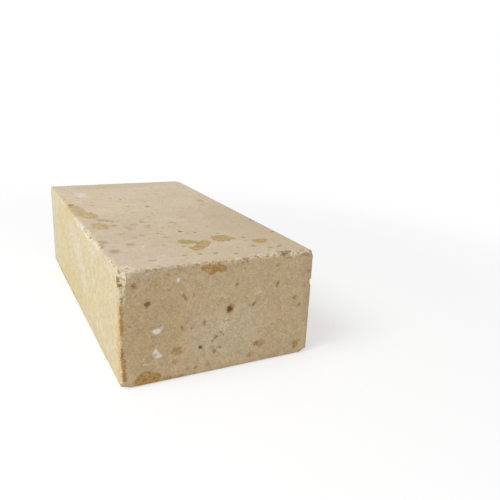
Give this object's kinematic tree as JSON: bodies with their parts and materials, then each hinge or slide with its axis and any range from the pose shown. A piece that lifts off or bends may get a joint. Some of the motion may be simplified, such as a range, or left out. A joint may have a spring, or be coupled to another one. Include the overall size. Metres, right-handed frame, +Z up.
{
  "type": "refractory firebrick",
  "caption": "Solid rectangular fired brick with worn, rounded arrises, laid in mortar to line furnaces, kilns and hearths.",
  "frame": {"origin": "middle of the bed face that the brick lies on", "axes": "+Z up, through the thickness; +Y along the length, away from the near header; +X across the width, away from the yellow-skinned stretcher"},
  "size_m": [0.114, 0.23, 0.065],
  "materials": {
    "fired_refractory": "matte"
  },
  "bodies": {
    "root": {"firebrick": "fired_refractory"}
  },
  "joints": []
}
